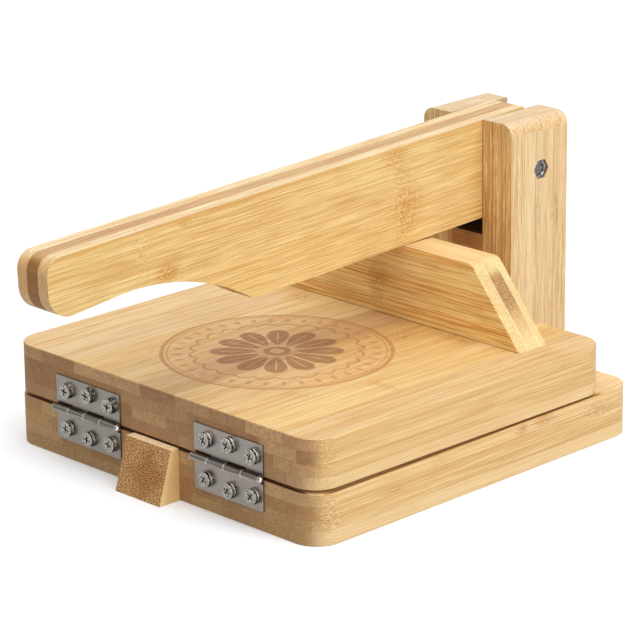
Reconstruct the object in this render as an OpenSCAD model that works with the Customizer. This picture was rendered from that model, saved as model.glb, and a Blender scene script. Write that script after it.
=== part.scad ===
// Lever tortilla press: two hinged boards, a pressing rib, two rear posts and
// a long lever. Origin at the centre of the base underside, +X to the right
// seen from the hinged front, +Y from the hinges to the posts, +Z up, mm.

/* [Boards] */
// how far the base board stands out at each side of the upper plate
base_lip = 0.7; // [0:0.1:6]
// depth of the base board, hinge face to rear edge
base_d = 238.8; // [200:0.2:270]
// thickness of the base board
base_t = 27.3; // [18:0.1:35]
// width of the upper plate
plate_w = 230; // [200:0.2:260]
// depth of the base left bare behind the upper plate
shelf_d = 22; // [8:0.5:50]
// thickness of the upper plate
plate_t = 26.7; // [18:0.1:35]
// height of the plate underside above the hinge axis, at the hinge edge
plate_lift = 0.8; // [0.3:0.1:2]
// downward tilt of the plate towards the rear
plate_tilt = 0.32; // [0:0.01:1]
// plan radius of the board corners
corner_r = 15.3; // [8:0.1:25]
// eased edge of the boards
edge = 0.4; // [0.3:0.1:2]

/* [Rear posts] */
// thickness of one post
post_t = 21.1; // [16:0.1:28]
// depth of a post, front to rear
post_d = 45.5; // [30:0.5:60]
// height of a post above the table
post_h = 154.7; // [130:0.1:180]
// rounding of the outer top corner of a post
post_r = 7; // [3:0.5:16]
// depth of the notch in the base that seats the posts
post_seat = 7.2; // [3:0.1:15]
// sideways place of the posts and the lever
slot_x = -0.55; // [-3:0.05:3]
// top of the spacer between the posts
spacer_h = 89.5; // [70:0.5:95]
// depth of the spacer
spacer_d = 38; // [25:0.5:45]

/* [Lever] */
// thickness of an outer ply of the lever
lever_ply = 7.25; // [5:0.05:9]
// thickness of the core ply of the lever
lever_core = 8.2; // [5:0.05:10]
// side gap between lever and post
side_gap = 0.3; // [0.1:0.05:0.8]
// lever edge above the pivot
lever_up = 29.4; // [22:0.1:34]
// lever edge below the pivot
lever_dn = 25.7; // [22:0.1:32]
// reach of the handle from the pivot
lever_len = 332; // [280:0.1:380]
// lever behind the pivot
lever_back = 10.3; // [8:0.1:16]
// upward slope of the lever to the rear at rest
lever_tilt = 2.08; // [0:0.01:5]
// pivot distance behind the post front
pivot_in = 24.3; // [15:0.1:30]
// pivot distance below the post top
pivot_drop = 28.9; // [20:0.05:40]
// radius of the finger hollow under the handle
grip_r = 143; // [80:1:220]
// top of the finger hollow, from the pivot
grip_u = 280.1; // [240:0.1:300]
// depth of the finger hollow line below the pivot
grip_w = -0.2; // [-5:0.1:8]
// lowest point of the handle end below the pivot
heel_w = 2.1; // [-2:0.1:8]
// upper rounding of the handle end
nose_r = 9; // [4:0.5:12]
// lower rounding of the handle end
heel_r = 14; // [8:0.5:16]

/* [Pressing rib] */
// thickness of the front ply of the rib
rib_face = 7; // [5:0.1:9]
// thickness of the core ply of the rib
rib_mid = 10; // [6:0.1:12]
// thickness of the rear ply of the rib
rib_rear = 4.6; // [3:0.1:9]
// distance of the rib from the rear edge of the plate
rib_back = 25.2; // [15:0.1:50]
// clearance between the rib and the lever at rest
rib_clear = 0.3; // [0.1:0.05:1]
// distance of the rib foot from the plate sides
rib_margin = 21; // [5:0.5:40]
// run of each slanted rib end
rib_run = 34.5; // [10:0.5:50]
// rounding of the rib top corners
rib_r = 6; // [3:0.5:10]

/* [Hinges] */
// distance of each hinge centre from the middle
hinge_x = 53.4; // [35:0.1:80]
// length of a hinge
hinge_l = 50; // [35:0.5:70]
// sideways shift of both hinges
hinge_off = 0.6; // [-3:0.1:3]
// height of the hinge axis above the base board
axis_up = 1.1; // [0.5:0.1:3]
// distance of the hinge axis from the board faces
axis_gap = 2.5; // [2.4:0.05:3.5]
// height of one leaf from the axis
leaf_h = 17.6; // [12:0.1:25]
// thickness of a leaf
leaf_t = 1; // [0.6:0.1:1.5]
// outer radius of the knuckles
knuckle_r = 2.2; // [1.8:0.05:2.4]
// radius of the hinge pin
pin_r = 1.2; // [0.8:0.05:1.5]
// radial clearance of pin and pivot
run_fit = 0.05; // [0.02:0.01:0.1]
// gap between knuckles
knuckle_gap = 0.35; // [0.2:0.05:0.8]
// clearance of a notch above the knuckle that it clears
notch_gap = 0.8; // [0.3:0.05:1.5]
// screw spacing along a leaf
screw_dx = 17; // [12:0.1:20]
// sideways shift of the screw row on a leaf
screw_off = 1.4; // [-2:0.1:2]
// distance of the outer screws from the hinge axis
screw_dz = 10.5; // [8:0.1:13]
// extra distance of the middle screw from the hinge axis
screw_mid = 1.5; // [0:0.1:2]

/* [Fasteners] */
// radius of a screw head
head_r = 4.2; // [3:0.1:5]
// height of a screw head with its collar
head_h = 2.9; // [1.8:0.1:3.5]
// thickness of the collar under a screw head
collar_t = 0.8; // [0.4:0.1:1]
// radius of a screw shank
shank_r = 1.9; // [1.5:0.05:2.1]
// length of a hinge screw below its head
screw_l = 16; // [10:0.5:20]
// length of a post screw below its head
long_l = 64; // [50:0.5:75]
// radial clearance of screws, dowels and sunk nuts
glue_gap = 0.05; // [0.02:0.01:0.1]
// width of the sunk nut and bolt head across flats
nut_af = 10; // [8:0.1:13]
// thickness of the nut
nut_t = 5; // [3:0.1:6]
// depth of the nut face below the post face
nut_sink = 0.8; // [0:0.1:2]
// radius of the pivot bolt
bolt_r = 3; // [2.5:0.1:4]

/* [Front stop] */
// width of the stop wedge
stop_w = 34; // [20:0.5:50]
// sideways place of the wedge
stop_x = -0.75; // [-5:0.05:5]
// height of the wedge above the base board
stop_rise = 1; // [0:0.1:1.2]
// projection of the wedge at its top
stop_top = 5.3; // [3:0.1:12]
// projection of the wedge at the table
stop_foot = 14; // [8:0.1:20]

/* [Hidden] */
$fn = 64;
y0 = -base_d / 2;
base_w = plate_w + 2 * base_lip;
plate_d = base_d - shelf_d;
axis_y = y0 - axis_gap;
left_x = hinge_off - hinge_x;
right_x = hinge_off + hinge_x;
axis_z = base_t + axis_up;
plate_z = axis_z + plate_lift;
lever_t = 2 * lever_ply + lever_core;
post_in = lever_t / 2 + side_gap;
post_out = post_in + post_t;
post_mid = post_in + post_t / 2;
post_y = base_d / 2 - post_seat;
post_back = post_y + post_d;
pivot_y = post_y + pivot_in;
pivot_z = post_h - pivot_drop;
nut_pocket = nut_af + 6 * glue_gap;
nut_in = post_out - nut_t - nut_sink;
// rib place, and its height up to the underside of the lever
rib_t = rib_face + rib_mid + rib_rear;
rib_y = y0 + plate_d - rib_back - rib_t;
// near faces of the three plies, and their thicknesses
rib_from = [rib_y, rib_y + rib_face, rib_y + rib_face + rib_mid];
rib_plies = [rib_face, rib_mid, rib_rear];
rib_h = pivot_z - (pivot_y - rib_y) * tan(lever_tilt)
    - lever_dn / cos(lever_tilt) + (rib_y - axis_y) * sin(plate_tilt)
    - rib_clear - plate_z - plate_t;
rib_foot = plate_w / 2 - rib_margin;
rib_top = rib_foot - rib_run;
// dowels, pegs and long screws, with their depth in the wood
dowel_r = 4;
dowel_in = post_t / 2;
peg_r = 2.5;
peg_in = base_t * 0.44;
peg_end = 0.5;
stop_in = stop_top - peg_end;
rib_in = rib_h * 0.48;
long_r = 2.4;
long_z = [base_t * 0.28, base_t * 0.72];
sink = 5;
spacer_pegs = [spacer_h * 0.47, spacer_h * 0.78];
rib_pegs = [-rib_top + 1.5, 0, rib_top - 1.5];
stop_pegs = [stop_x - stop_w * 0.27, stop_x + stop_w * 0.27];

// ---- shared shapes ----

// board with round plan corners and chamfered rims, centred in X and Y
module board(w, d, t) {
    prof = [[0, 0], [corner_r - edge, 0], [corner_r, edge],
        [corner_r, t - edge], [corner_r - edge, t], [0, t]];
    for (sx = [-1, 1], sy = [-1, 1])
        translate([sx * (w / 2 - corner_r), sy * (d / 2 - corner_r), 0])
            rotate_extrude() polygon(prof);
    translate([0, (d - 2 * corner_r) / 2, 0]) rotate([90, 0, 0])
        linear_extrude(d - 2 * corner_r) slab_section(w, t);
    translate([-(w - 2 * corner_r) / 2, 0, 0]) rotate([90, 0, 90])
        linear_extrude(w - 2 * corner_r) slab_section(d, t);
}

module slab_section(w, t) {
    polygon([[-w / 2 + edge, 0], [w / 2 - edge, 0], [w / 2, edge],
        [w / 2, t - edge], [w / 2 - edge, t], [-w / 2 + edge, t],
        [-w / 2, t - edge], [-w / 2, edge]]);
}

// round rod along Y from y = a to y = b
module rod_y(r, a, b) {
    translate([0, a, 0]) rotate([-90, 0, 0]) cylinder(r = r, h = b - a);
}

// round rod along X from x = a to x = b
module rod_x(r, a, b) {
    translate([a, 0, 0]) rotate([0, 90, 0]) cylinder(r = r, h = b - a);
}

// hexagonal prism along X with a flat facing up
module hex_x(af, a, b) {
    translate([a, 0, 0]) rotate([0, 90, 0]) rotate([0, 0, 30])
        cylinder(r = af / sqrt(3), h = b - a, $fn = 6);
}

// flat pan-head screw with a collar: seat at y = 0, head towards -Y
module pan_screw(r, l, turn) {
    groove = 0.3;
    difference() {
        union() {
            rod_y(head_r, -head_h, -collar_t - groove);
            rod_y(head_r - groove, -head_h + groove, -groove);
            rod_y(head_r + 0.1, -collar_t, 0);
            rod_y(r, -0.5, l - 2 * r);
            translate([0, l - 2 * r, 0]) rotate([-90, 0, 0])
                cylinder(r1 = r, r2 = 0.3, h = 2 * r);
        }
        for (a = [0, 90]) rotate([0, a + turn, 0])
            translate([-2.2, -head_h - 1, -0.45]) cube([4.4, 2.3, 0.9]);
    }
}

// carries a shape with the upper plate, which tilts about the hinge axis
module on_plate() {
    translate([0, axis_y, axis_z]) rotate([-plate_tilt, 0, 0])
        translate([0, -axis_y, -axis_z]) children();
}

// places a shape at each screw of one leaf, side = 1 plate, -1 base
module leaf_screws(cx, side) {
    for (i = [-1, 0, 1])
        translate([cx + screw_off + i * screw_dx, y0, axis_z
            + side * (screw_dz + screw_mid * (1 - abs(i)))]) children();
}

module pivot_place() {
    translate([slot_x, pivot_y, pivot_z]) children();
}

// ---- base body ----

module base_board() {
    color([0.80, 0.66, 0.46]) difference() {
        board(base_w, base_d, base_t);
        translate([slot_x - post_out, post_y, -1])
            cube([2 * post_out, base_d, base_t + 2]);
        for (s = [-1, 1]) {
            leaf_screws(hinge_off + s * hinge_x, -1)
                rod_y(shank_r + glue_gap, -1, screw_l - leaf_t + 1);
            for (z = long_z) translate([slot_x + s * post_mid, 0, z])
                rod_y(long_r + glue_gap, post_back - sink - long_l - 1,
                    post_y + 1);
        }
        for (x = stop_pegs) translate([x, 0, base_t / 2])
            rod_y(peg_r + glue_gap, y0 - 1, y0 + peg_in + peg_end);
    }
}

// post drawn on the +X side; side = -1 mirrors it
module post(side) {
    translate([slot_x, 0, 0]) mirror([side < 0 ? 1 : 0, 0, 0])
    difference() {
        translate([0, post_back, 0]) rotate([90, 0, 0])
            linear_extrude(post_d) {
                translate([post_in, 0])
                    square([post_t - post_r, post_h]);
                translate([post_in, 0])
                    square([post_t, post_h - post_r]);
                translate([post_out - post_r, post_h - post_r])
                    circle(r = post_r);
            }
        translate([0, pivot_y, pivot_z]) {
            rod_x(bolt_r + run_fit, 0, post_out + 1);
            hex_x(nut_pocket, nut_in, post_out + 1);
        }
        for (z = spacer_pegs)
            translate([0, post_y + spacer_d / 2, z])
                rod_x(dowel_r + glue_gap, 0, post_in + dowel_in + peg_end);
        for (z = long_z) translate([post_mid, 0, z]) {
            rod_y(long_r + glue_gap, post_y - 1, post_back);
            rod_y(head_r + 0.6, post_back - sink, post_back + 1);
        }
    }
}

module left_post() color([0.86, 0.68, 0.44]) post(-1);

module right_post() color([0.86, 0.68, 0.44]) post(1);

module spacer_block() {
    color([0.72, 0.54, 0.34]) difference() {
        translate([slot_x - post_in, post_y, 0])
            cube([2 * post_in, spacer_d, spacer_h]);
        for (z = spacer_pegs)
            translate([slot_x, post_y + spacer_d / 2, z])
                rod_x(dowel_r + glue_gap, -post_in - 1, post_in + 1);
    }
}

module spacer_dowels() {
    color([0.85, 0.72, 0.52]) for (z = spacer_pegs)
        translate([slot_x, post_y + spacer_d / 2, z])
            rod_x(dowel_r, -post_in - dowel_in, post_in + dowel_in);
}

module post_screws() {
    color([0.62, 0.60, 0.56]) for (s = [-1, 1], z = long_z)
        translate([slot_x + s * post_mid, post_back - sink, z])
            rotate([0, 0, 180]) pan_screw(long_r, long_l, s * z);
}

module stop_wedge() {
    color([0.74, 0.52, 0.30]) difference() {
        translate([stop_x - stop_w / 2, 0, 0]) rotate([90, 0, 90])
            linear_extrude(stop_w) polygon([[y0, 0],
                [y0, base_t + stop_rise],
                [y0 - stop_top, base_t + stop_rise], [y0 - stop_foot, 0]]);
        for (x = stop_pegs) translate([x, 0, base_t / 2])
            rod_y(peg_r + glue_gap, y0 - stop_in - peg_end, y0 + 1);
    }
}

module wedge_dowels() {
    color([0.85, 0.72, 0.52]) for (x = stop_pegs)
        translate([x, 0, base_t / 2])
            rod_y(peg_r, y0 - stop_in, y0 + peg_in);
}

// ---- hinges ----

// leaf rising from the axis with knuckles first and first + 2 of four
module leaf(cx, first) {
    pitch = hinge_l / 4;
    difference() {
        union() {
            translate([cx - hinge_l / 2, y0 - leaf_t, axis_z + 0.2])
                cube([hinge_l, leaf_t, leaf_h - 0.2]);
            for (k = [first, first + 2])
                translate([0, axis_y, axis_z])
                    rod_x(knuckle_r,
                        cx - hinge_l / 2 + k * pitch + knuckle_gap / 2,
                        cx - hinge_l / 2 + (k + 1) * pitch
                            - knuckle_gap / 2);
        }
        for (k = [1 - first, 3 - first])
            translate([cx - hinge_l / 2 + k * pitch - knuckle_gap / 2,
                y0 - leaf_t - 1, axis_z - 1])
                cube([pitch + knuckle_gap, leaf_t + 2,
                    knuckle_r + notch_gap + 1]);
        translate([0, axis_y, axis_z])
            rod_x(pin_r + run_fit, cx - hinge_l, cx + hinge_l);
        leaf_screws(cx, 1) rod_y(shank_r + glue_gap, -leaf_t - 1, 1);
    }
}

module base_leaf(cx) {
    color([0.60, 0.56, 0.52]) translate([0, 0, axis_z]) mirror([0, 0, 1])
        translate([0, 0, -axis_z]) leaf(cx, 0);
}

module plate_leaf(cx) {
    color([0.60, 0.56, 0.52]) on_plate() leaf(cx, 1);
}

// pin with a low button at each end
module hinge_pin(cx) {
    color([0.78, 0.76, 0.72]) translate([cx, axis_y, axis_z]) {
        rod_x(pin_r, -hinge_l / 2 - 0.3, hinge_l / 2 + 0.3);
        for (a = [-90, 90]) rotate([0, a, 0])
            translate([0, 0, hinge_l / 2]) {
                cylinder(r1 = pin_r + 0.6, r2 = pin_r + 0.3, h = 0.7);
                translate([0, 0, 0.7])
                    cylinder(r1 = pin_r + 0.3, r2 = pin_r / 2, h = 0.6);
            }
    }
}

module left_hinge_base_leaf() base_leaf(left_x);

module right_hinge_base_leaf() base_leaf(right_x);

module left_hinge_plate_leaf() plate_leaf(left_x);

module right_hinge_plate_leaf() plate_leaf(right_x);

module left_hinge_pin() hinge_pin(left_x);

module right_hinge_pin() hinge_pin(right_x);

module hinge_screws(cx, side, turn) {
    color([0.70, 0.68, 0.64]) leaf_screws(cx, side)
        translate([0, -leaf_t, 0]) pan_screw(shank_r, screw_l, turn);
}

module left_base_screws() hinge_screws(left_x, -1, 12);

module right_base_screws() hinge_screws(right_x, -1, 35);

module left_plate_screws() on_plate() hinge_screws(left_x, 1, 10);

module right_plate_screws() on_plate() hinge_screws(right_x, 1, 24);

// ---- plate body ----

module press_plate() {
    color([0.93, 0.82, 0.63]) on_plate() difference() {
        translate([0, y0 + plate_d / 2, plate_z])
            board(plate_w, plate_d, plate_t);
        for (x = [left_x, right_x]) leaf_screws(x, 1)
            rod_y(shank_r + glue_gap, -1, screw_l - leaf_t + 1);
        rib_peg_rods(peg_r + glue_gap, -peg_in - peg_end, 1);
    }
}

// rib ply i = 0 front, 1 core, 2 rear, standing on the plate
module rib_ply(i) {
    on_plate() difference() {
        translate([0, rib_from[i] + rib_plies[i], plate_z + plate_t])
            rotate([90, 0, 0]) linear_extrude(rib_plies[i]) rib_outline();
        rib_peg_rods(peg_r + glue_gap, -1, rib_in + peg_end);
    }
}

module rib_outline() {
    run = rib_foot - rib_top;
    lean = atan2(run, rib_h);
    // centre of the corner rounding, tangent to the top and the slope
    cx = rib_top - rib_r * tan((90 - lean) / 2);
    n = 10;
    arc = [for (k = [0 : n]) let (a = 90 - (90 - lean) * k / n)
        [cx + rib_r * cos(a), rib_h - rib_r + rib_r * sin(a)]];
    polygon(concat([[-rib_foot, 0], [rib_foot, 0]],
        [for (k = [n : -1 : 0]) arc[k]],
        [for (p = arc) [-p[0], p[1]]]));
}

module rib_peg_rods(r, a, b) {
    for (x = rib_pegs)
        translate([x, rib_from[1] + rib_mid / 2, plate_z + plate_t + a])
            cylinder(r = r, h = b - a);
}

module rib_front_ply() color([0.88, 0.70, 0.44]) rib_ply(0);

module rib_core_ply() color([0.78, 0.58, 0.36]) rib_ply(1);

module rib_back_ply() color([0.88, 0.70, 0.44]) rib_ply(2);

module rib_dowels() {
    color([0.85, 0.72, 0.52]) on_plate() rib_peg_rods(peg_r, -peg_in, rib_in);
}

// ---- lever body ----

// points on an arc from angle a to b, with n steps
function arc_pts(c, r, a, b, n) = [for (k = [0 : n])
    let (t = a + (b - a) * k / n) [c[0] + r * cos(t), c[1] + r * sin(t)]];

// side outline about the pivot, handle towards -u
module lever_outline() {
    up = 90;
    entry = 4.5;
    // the hollow runs on until it meets the lower edge
    leave = acos(1 - (lever_dn - grip_w) / grip_r);
    grip_c = [-grip_u, -grip_w - grip_r];
    heel_c = [-lever_len + heel_r, -heel_w + heel_r];
    nose_c = [-lever_len + nose_r, lever_up - nose_r];
    polygon(concat([[lever_back, -lever_dn], [lever_back, lever_up]],
        arc_pts(nose_c, nose_r, up, 180, 12),
        arc_pts(heel_c, heel_r, 180, 270 + entry, 20),
        arc_pts(grip_c, grip_r, up + entry, up - leave, 18)));
}

// lever ply i = 0 left, 1 core, 2 right
module lever_ply(i) {
    from = [-lever_t / 2, -lever_core / 2, lever_core / 2];
    pivot_place() rotate([lever_tilt, 0, 0]) difference() {
        translate([from[i], 0, 0]) rotate([90, 0, 90])
            linear_extrude(i == 1 ? lever_core : lever_ply)
                lever_outline();
        rod_x(bolt_r + run_fit, -lever_t, lever_t);
    }
}

module lever_left_ply() color([0.90, 0.74, 0.48]) lever_ply(0);

module lever_core_ply() color([0.80, 0.60, 0.42]) lever_ply(1);

module lever_right_ply() color([0.90, 0.74, 0.48]) lever_ply(2);

// hexagon bolt through both posts and the lever, head sunk on the left
module pivot_bolt() {
    color([0.66, 0.64, 0.60]) pivot_place() {
        rod_x(bolt_r, -nut_in - 0.2, post_out - 2 * nut_sink);
        hex_x(nut_af, -post_out + nut_sink, -nut_in - 0.1);
    }
}

module pivot_nut() {
    color([0.72, 0.70, 0.66]) pivot_place() difference() {
        intersection() {
            hex_x(nut_af, nut_in, post_out - nut_sink);
            rod_x(nut_af / sqrt(3) - 0.25, nut_in - 1, post_out);
        }
        rod_x(bolt_r + glue_gap, 0, post_out + 1);
        translate([post_out - nut_sink - 0.6, 0, 0]) rotate([0, 90, 0])
            cylinder(r1 = bolt_r, r2 = bolt_r + 0.9, h = 0.9);
    }
}

base_board();
left_post();
right_post();
spacer_block();
spacer_dowels();
post_screws();
stop_wedge();
wedge_dowels();
left_hinge_base_leaf();
left_hinge_plate_leaf();
left_hinge_pin();
right_hinge_base_leaf();
right_hinge_plate_leaf();
right_hinge_pin();
left_base_screws();
right_base_screws();
left_plate_screws();
right_plate_screws();
press_plate();
rib_front_ply();
rib_core_ply();
rib_back_ply();
rib_dowels();
lever_left_ply();
lever_core_ply();
lever_right_ply();
pivot_bolt();
pivot_nut();
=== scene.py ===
"""Looks for the lever tortilla press: laminated bamboo, satin hinges, plated screws, a scorched rosette."""
import bpy
import math
from collections import namedtuple
from types import SimpleNamespace
from mathutils import Matrix, Vector


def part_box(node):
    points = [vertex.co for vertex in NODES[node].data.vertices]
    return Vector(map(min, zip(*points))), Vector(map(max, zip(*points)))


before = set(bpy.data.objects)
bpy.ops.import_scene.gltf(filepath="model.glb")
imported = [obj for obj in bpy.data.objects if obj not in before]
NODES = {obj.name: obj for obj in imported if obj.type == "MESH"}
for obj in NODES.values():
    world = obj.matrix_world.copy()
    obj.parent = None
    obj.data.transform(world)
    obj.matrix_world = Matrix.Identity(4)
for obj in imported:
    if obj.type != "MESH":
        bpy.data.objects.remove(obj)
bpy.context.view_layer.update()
scene = bpy.context.scene
MM = 0.001
X, Y, Z = range(3)


# ---------------------------------------------------------------- places in mm, from the frame

def low(node, axis):
    """Lowest place of a CAD node along an axis, mm."""
    return round(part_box(node)[0][axis] / MM, 2)


def high(node, axis):
    """Highest place of a CAD node along an axis, mm."""
    return round(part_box(node)[1][axis] / MM, 2)


def middle(node, axis):
    """Middle of a CAD node along an axis, mm."""
    return round((low(node, axis) + high(node, axis)) / 2, 2)


FRONT_Y = low("base_board", Y)
BASE_HALF = high("base_board", X)
PLATE_HALF = high("press_plate", X)
BASE_TOP = high("base_board", Z)
SPACER_TOP = high("spacer_block", Z)
# the two hinges stand HINGE_X to the left and right of HINGE_MID, and turn about a line at HINGE_Y, HINGE_Z
HINGE_MID = (middle("left_hinge_base_leaf", X) + middle("right_hinge_base_leaf", X)) / 2
HINGE_X = middle("right_hinge_base_leaf", X) - HINGE_MID
HINGE_Y = middle("left_hinge_pin", Y)
HINGE_Z = middle("left_hinge_pin", Z)
LEAF_HALF = high("right_hinge_base_leaf", X) - middle("right_hinge_base_leaf", X)
# the slot between the posts, and the line that the lever turns about
SLOT_MID = (high("left_post", X) + low("right_post", X)) / 2
SLOT_HALF = low("right_post", X) - SLOT_MID
PIVOT = (0.0, middle("pivot_bolt", Y), middle("pivot_bolt", Z))

# slopes of the lever and the plate in degrees, and the core of the leaning rib, as in the CAD
LEVER_TILT = 2.08
PLATE_TILT = -0.32
RIB_CORE_Y, RIB_LEAN = 62.44, 0.0056
# length of one of a hinge's four knuckles
KNUCKLE = LEAF_HALF / 2


# ---------------------------------------------------------------- node tools

def srgb(r, g, b):
    """Linear colour from 0-255 display values."""
    def lin(c):
        c /= 255.0
        return c / 12.92 if c <= 0.04045 else ((c + 0.055) / 1.055) ** 2.4
    return (lin(r), lin(g), lin(b), 1.0)


def linear(r, g, b):
    """A colour from linear values, which may be above 1 where another colour is multiplied by it."""
    return (r, g, b, 1.0)


class Num:
    """A number in a shader node tree, so that its maths reads as plain maths."""

    def __init__(self, graph, socket):
        self.graph = graph
        self.socket = socket

    def __add__(self, other):
        return self.graph.math("ADD", self, other)

    def __radd__(self, other):
        return self.graph.math("ADD", other, self)

    def __sub__(self, other):
        return self.graph.math("SUBTRACT", self, other)

    def __rsub__(self, other):
        return self.graph.math("SUBTRACT", other, self)

    def __mul__(self, other):
        return self.graph.math("MULTIPLY", self, other)

    def __rmul__(self, other):
        return self.graph.math("MULTIPLY", other, self)

    def __truediv__(self, other):
        return self.graph.math("DIVIDE", self, other)

    def __mod__(self, other):
        return self.graph.math("MODULO", self, other)

    def __pow__(self, other):
        return self.graph.math("POWER", self, other)

    def __neg__(self):
        return self.graph.math("MULTIPLY", self, -1.0)

    def __abs__(self):
        return self.graph.math("ABSOLUTE", self)


class Graph:
    """A short way to write the node tree of a new material, or of the owner that is given."""

    def __init__(self, name, owner=None):
        self.owner = owner or bpy.data.materials.new(name)
        self.owner.use_nodes = True
        self.tree = self.owner.node_tree
        self.tree.nodes.clear()

    def node(self, kind, **props):
        n = self.tree.nodes.new(kind)
        for key, value in props.items():
            setattr(n, key, value)
        return n

    def put(self, socket, value):
        """Links a socket to where its value comes from, or sets it."""
        if isinstance(value, Num):
            value = value.socket
        if isinstance(value, bpy.types.NodeSocket):
            self.tree.links.new(value, socket)
        elif value is not None:
            socket.default_value = value

    def fill(self, node, *values):
        """Puts values into a node's first inputs, in order."""
        for socket, value in zip(node.inputs, values):
            self.put(socket, value)
        return node

    def math(self, op, a, b=None, clamp=False):
        n = self.fill(self.node("ShaderNodeMath", operation=op, use_clamp=clamp), a, b)
        return Num(self, n.outputs[0])

    def maximum(self, a, b):
        return self.math("MAXIMUM", a, b)

    def minimum(self, a, b):
        return self.math("MINIMUM", a, b)

    def ramp(self, v, lo, hi, a=0.0, b=1.0):
        """Smooth step of v from lo..hi to a..b."""
        n = self.fill(self.node("ShaderNodeMapRange", interpolation_type="SMOOTHSTEP"), v, lo, hi, a, b)
        return Num(self, n.outputs[0])

    def between(self, v, lo, hi, soft):
        """1 where lo < v < hi, with soft sides."""
        return self.ramp(v, lo - soft, lo + soft) * self.ramp(v, hi + soft, hi - soft)

    def facing(self, n):
        """1 on the faces that look along the axis whose part of the normal is n, either way."""
        return self.ramp(abs(n), 0.55, 0.85)

    def vec(self, x, y, z):
        return self.fill(self.node("ShaderNodeCombineXYZ"), x, y, z).outputs[0]

    def split(self, v):
        n = self.fill(self.node("ShaderNodeSeparateXYZ"), v)
        return [Num(self, socket) for socket in n.outputs]

    def mix(self, f, a, b, mode="MIX"):
        """Colour a, turned to b (or blended with it) by the share f."""
        n = self.node("ShaderNodeMix", data_type="RGBA", blend_type=mode, clamp_factor=True)
        self.put(n.inputs[0], f)
        self.put(n.inputs[6], a)
        self.put(n.inputs[7], b)
        return n.outputs[2]

    def shade(self, colour, f):
        """colour times the number f."""
        n = self.node("ShaderNodeVectorMath", operation="SCALE")
        self.put(n.inputs[0], colour[:3] if isinstance(colour, tuple) else colour)
        self.put(n.inputs[3], f)
        return n.outputs[0]

    def noise(self, v, scale=1.0, detail=2.0, rough=0.5):
        n = self.node("ShaderNodeTexNoise", noise_dimensions="3D", normalize=True)
        for key, value in (("Vector", v), ("Scale", scale), ("Detail", detail), ("Roughness", rough)):
            self.put(n.inputs[key], value)
        return Num(self, n.outputs["Fac"])

    def cells(self, v, scale):
        """Distance to the nearest of many scattered points."""
        n = self.node("ShaderNodeTexVoronoi", feature="F1")
        self.put(n.inputs["Vector"], v)
        self.put(n.inputs["Scale"], scale)
        return Num(self, n.outputs["Distance"])

    def dice(self, v):
        """Three random numbers that go by a vector."""
        n = self.fill(self.node("ShaderNodeTexWhiteNoise", noise_dimensions="3D"), v)
        s = self.fill(self.node("ShaderNodeSeparateColor"), n.outputs["Color"])
        return [Num(self, socket) for socket in s.outputs]

    def coords(self, tilt=0.0, about=(0.0, 0.0, 0.0)):
        """Row-frame position in mm and the surface normal, turned back by tilt degrees about X."""
        c = self.node("ShaderNodeTexCoord")
        pos, nor = self.shade(c.outputs["Object"], 1.0 / MM), c.outputs["Normal"]
        if tilt:
            pos, nor = self.turned(pos, about, -tilt), self.turned(nor, (0.0, 0.0, 0.0), -tilt)
        return pos, nor

    def turned(self, v, centre, degrees):
        """A vector turned about X."""
        n = self.node("ShaderNodeVectorRotate", rotation_type="X_AXIS")
        for key, value in (("Vector", v), ("Center", centre), ("Angle", math.radians(degrees))):
            self.put(n.inputs[key], value)
        return n.outputs[0]

    def seen_directly(self):
        """1 for what the camera sees, also in mirrors, and 0 for the light that one surface gives another."""
        rays = self.node("ShaderNodeLightPath").outputs
        return self.maximum(Num(self, rays["Is Camera Ray"]),
                            self.maximum(rays["Is Glossy Ray"], rays["Is Transmission Ray"]))

    def surface(self, colour, rough, bump, depth, strength, **fixed):
        """Ends a material: depth is the bump's height in mm, and fixed are constant sockets."""
        b = self.node("ShaderNodeBump")
        for key, value in (("Height", bump), ("Distance", depth * MM), ("Strength", strength)):
            self.put(b.inputs[key], value)
        p = self.node("ShaderNodeBsdfPrincipled")
        for key, value in (("Base Color", colour), ("Roughness", rough), ("Normal", b.outputs[0])):
            self.put(p.inputs[key], value)
        for key, value in fixed.items():
            p.inputs[key.replace("_", " ")].default_value = value
        self.fill(self.node("ShaderNodeOutputMaterial"), p.outputs[0])
        return self.owner


# ---------------------------------------------------------------- bamboo tints

# light, dark and node tints of the long grain, its streaks, the narrow edge of a strip, two end-grain tints
BOARD = dict(light=srgb(241, 217, 168), dark=srgb(228, 190, 128), knot=srgb(192, 128, 60),
             streak=srgb(208, 156, 88), edge=srgb(239, 195, 125),
             end_light=srgb(218, 173, 122), end_dark=srgb(162, 116, 76))
BASE = dict(BOARD, edge=srgb(246, 204, 139), end_light=srgb(214, 174, 122), end_dark=srgb(180, 134, 84))
POST = dict(light=srgb(246, 222, 174), dark=srgb(232, 197, 141), knot=srgb(176, 112, 48),
            streak=srgb(206, 152, 92), edge=srgb(255, 228, 162),
            end_light=srgb(225, 204, 168), end_dark=srgb(212, 179, 139))
LEVER = dict(light=srgb(243, 216, 151), dark=srgb(237, 201, 134), knot=srgb(200, 130, 44),
             streak=srgb(208, 152, 76), edge=srgb(238, 228, 202),
             end_light=srgb(244, 198, 144), end_dark=srgb(221, 168, 107))
CORE = dict(light=srgb(218, 172, 128), dark=srgb(198, 148, 100), knot=srgb(160, 104, 60),
            streak=srgb(170, 116, 72), edge=srgb(215, 186, 127),
            end_light=srgb(196, 142, 80), end_dark=srgb(150, 100, 48))
RIB = dict(light=srgb(255, 229, 156), dark=srgb(255, 203, 122), knot=srgb(172, 106, 36),
           streak=srgb(197, 124, 54), edge=srgb(220, 198, 154),
           end_light=srgb(232, 210, 156), end_dark=srgb(218, 188, 130))
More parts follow.
